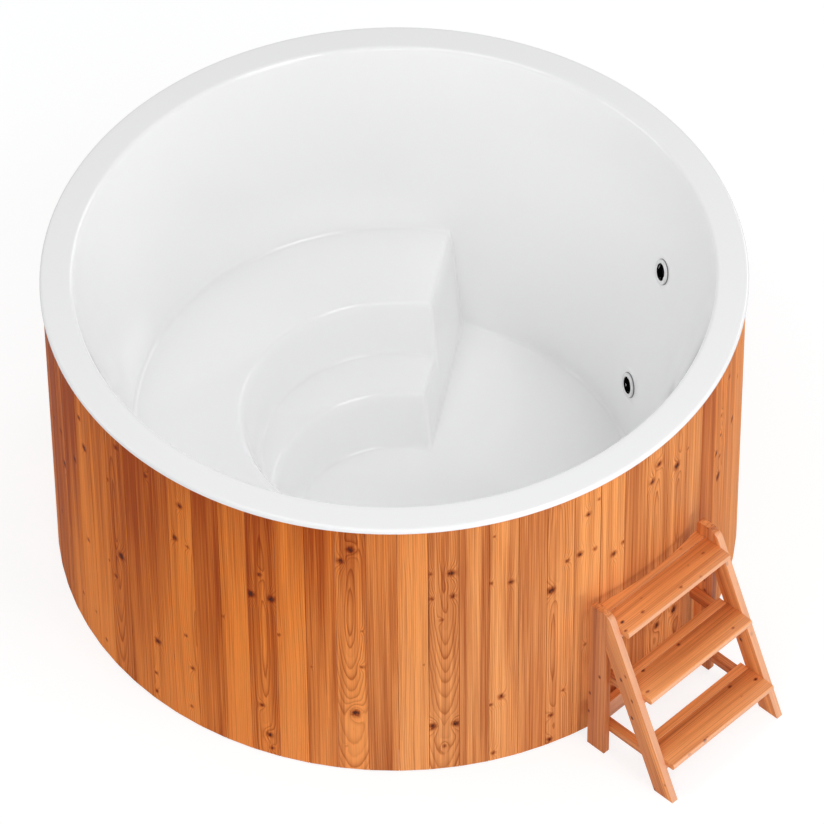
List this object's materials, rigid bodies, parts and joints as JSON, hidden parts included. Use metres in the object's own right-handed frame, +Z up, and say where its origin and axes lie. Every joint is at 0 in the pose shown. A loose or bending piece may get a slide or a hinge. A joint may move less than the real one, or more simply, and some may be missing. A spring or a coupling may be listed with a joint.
{
  "type": "cold plunge tub",
  "caption": "Round timber-clad plunge tub with a white moulded liner, curved bench and step inside, and a small three-tread wooden stair standing against it.",
  "frame": {"origin": "point on the tub's vertical axis, on the ground, in the underside of the middle bearer", "axes": "+Z up along the tub's axis; -Y towards the viewer of the picture; +X to the right, so the stair stands towards +X -Y"},
  "size_m": [2.1008, 2.221, 1.02],
  "materials": {
    "liner_shell": "satin gloss moulded shell",
    "cladding_wood": "oiled, satin",
    "stair_wood": "oiled, satin",
    "frame_timber": "sawn, untreated",
    "plywood": "sanded, untreated",
    "insulation_foam": "closed-cell foam",
    "fitting_plastic": "glossy white",
    "pipe_plastic": "satin grey",
    "rubber_seal": "matt black",
    "handle_plastic": "glossy red"
  },
  "bodies": {
    "tub": {"liner": "liner_shell", "wall_insulation": "insulation_foam", "bedding_sheet": "insulation_foam", "base_disc": "plywood", "middle_ring": "plywood", "upper_ring": "plywood", "bearers": "frame_timber", "lower_posts": "frame_timber", "upper_posts": "frame_timber", "bench_posts": "frame_timber", "wall_boards_01": "cladding_wood", "wall_boards_02": "cladding_wood", "wall_boards_03": "cladding_wood", "wall_boards_04": "cladding_wood", "wall_boards_05": "cladding_wood", "wall_boards_06": "cladding_wood", "wall_boards_07": "cladding_wood", "wall_boards_08": "cladding_wood", "wall_boards_09": "cladding_wood", "wall_boards_10": "cladding_wood", "wall_boards_11": "cladding_wood", "wall_boards_12": "cladding_wood", "upper_fitting": "fitting_plastic", "upper_gasket": "rubber_seal", "upper_locknut": "pipe_plastic", "upper_pipe": "pipe_plastic", "upper_coupling": "pipe_plastic", "lower_fitting": "fitting_plastic", "lower_gasket": "rubber_seal", "lower_locknut": "pipe_plastic", "lower_pipe": "pipe_plastic", "lower_coupling": "pipe_plastic", "drain_fitting": "fitting_plastic", "drain_strainer": "pipe_plastic", "drain_gasket": "rubber_seal", "drain_locknut": "pipe_plastic", "drain_elbow": "pipe_plastic", "drain_pipe": "pipe_plastic", "valve_body": "pipe_plastic"},
    "valve_handle": {"valve_ball": "fitting_plastic", "valve_handle": "handle_plastic"},
    "stair": {"stair_left_leg": "stair_wood", "stair_right_leg": "stair_wood", "stair_left_stringer": "stair_wood", "stair_right_stringer": "stair_wood", "top_tread_front": "stair_wood", "top_tread_rear": "stair_wood", "middle_tread_front": "stair_wood", "middle_tread_rear": "stair_wood", "bottom_tread_front": "stair_wood", "bottom_tread_rear": "stair_wood", "top_battens": "stair_wood", "middle_battens": "stair_wood", "bottom_battens": "stair_wood", "stair_rear_rail": "stair_wood"}
  },
  "joints": [
    {"name": "valve_turn", "type": "hinge", "parent": "tub", "child": "valve_handle", "pos_m": [0.29135, 1.03534, 0.08], "axis": [0, 0, 1], "range_deg": [0, 90]},
    {"name": "stair_slide", "type": "slide", "parent": "tub", "child": "stair", "axis": [0.7071, -0.7071, 0], "range_m": [0, 0.3]}
  ]
}
